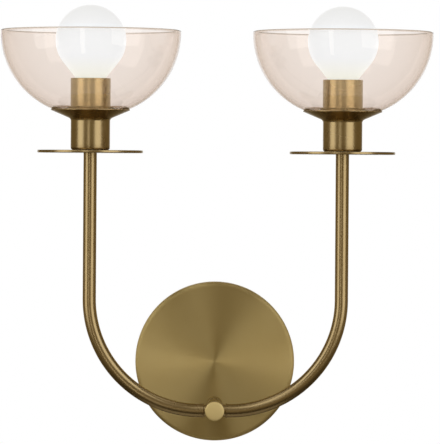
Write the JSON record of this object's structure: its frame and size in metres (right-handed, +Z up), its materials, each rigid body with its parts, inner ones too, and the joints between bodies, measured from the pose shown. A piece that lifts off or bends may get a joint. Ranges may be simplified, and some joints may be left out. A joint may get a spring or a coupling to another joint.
{
  "type": "wall sconce",
  "caption": "Wall sconce in aged brass: bent tube arms rise from a round backplate to cups with tinted glass bowls round lit globe lamps.",
  "frame": {"origin": "centre of the backplate on the wall, midway between the bracket's two junction-box screw slots", "axes": "-Y out of the wall towards the viewer, +Z up, +X to the viewer's right"},
  "size_m": [0.4014, 0.1937, 0.4097],
  "materials": {
    "satin_brass": "satin, aged gold tone",
    "lathe_brushed_brass": "brushed in circles on the lathe, aged gold tone",
    "plated_steel": "zinc plated",
    "green_steel": "green passivated",
    "raw_brass": "as machined",
    "nickel_plated_brass": "nickel plated",
    "blush_glass": "clear, tinted blush pink",
    "frosted_glass": "frosted white, lit",
    "black_glass": "black glass",
    "clear_silicone": "translucent",
    "dark_phenolic": "moulded",
    "black_lead": "satin",
    "white_lead": "satin",
    "white_nylon": "moulded"
  },
  "bodies": {
    "sconce": {"arm_ferrule_left": "satin_brass", "arm_ferrule_right": "satin_brass", "arm_left": "satin_brass", "arm_right": "satin_brass", "backplate": "lathe_brushed_brass", "centre_contact_left": "raw_brass", "centre_contact_right": "raw_brass", "clamp_gasket_left": "clear_silicone", "clamp_gasket_right": "clear_silicone", "cup_left": "satin_brass", "cup_nut_left": "plated_steel", "cup_nut_right": "plated_steel", "cup_right": "satin_brass", "cup_washer_left": "plated_steel", "cup_washer_right": "plated_steel", "disc_left": "satin_brass", "disc_right": "satin_brass", "finial": "satin_brass", "glass_bowl_left": "blush_glass", "glass_bowl_right": "blush_glass", "ground_screw": "green_steel", "hub": "satin_brass", "lampholder_left": "dark_phenolic", "lampholder_right": "dark_phenolic", "leads_live": "black_lead", "leads_neutral": "white_lead", "mounting_bracket": "plated_steel", "plate_screws": "plated_steel", "post": "satin_brass", "post_bush": "raw_brass", "post_nipple": "plated_steel", "post_nut": "plated_steel", "post_washer": "plated_steel", "screw_shell_left": "raw_brass", "screw_shell_right": "raw_brass", "seat_gasket_left": "clear_silicone", "seat_gasket_right": "clear_silicone", "socket_sleeve_left": "satin_brass", "socket_sleeve_right": "satin_brass", "stem_nipple_left": "plated_steel", "stem_nipple_right": "plated_steel", "wire_connectors": "white_nylon"},
    "lamp_left_contact": {"lamp_eyelet_left": "raw_brass"},
    "lamp_left": {"lamp_insulator_left": "black_glass", "lamp_cap_left": "nickel_plated_brass", "lamp_globe_left": "frosted_glass"},
    "lamp_right_contact": {"lamp_eyelet_right": "raw_brass"},
    "lamp_right": {"lamp_insulator_right": "black_glass", "lamp_cap_right": "nickel_plated_brass", "lamp_globe_right": "frosted_glass"}
  },
  "joints": [
    {"name": "lamp_left_rise", "type": "slide", "parent": "sconce", "child": "lamp_left_contact", "axis": [0, 0, 1], "range_m": [0, 0.01815]},
    {"name": "lamp_left_turn", "type": "hinge", "parent": "lamp_left_contact", "child": "lamp_left", "pos_m": [-0.117, -0.11, 0.26493], "axis": [0, 0, 1], "range_deg": [0, 1800]},
    {"name": "lamp_right_rise", "type": "slide", "parent": "sconce", "child": "lamp_right_contact", "axis": [0, 0, 1], "range_m": [0, 0.01815]},
    {"name": "lamp_right_turn", "type": "hinge", "parent": "lamp_right_contact", "child": "lamp_right", "pos_m": [0.117, -0.11, 0.26493], "axis": [0, 0, 1], "range_deg": [0, 1800]}
  ],
  "couplings": [
    {"joint": "lamp_left_rise", "follows": "lamp_left_turn", "m_per_rad": 0.00057757},
    {"joint": "lamp_right_rise", "follows": "lamp_right_turn", "m_per_rad": 0.00057757}
  ]
}
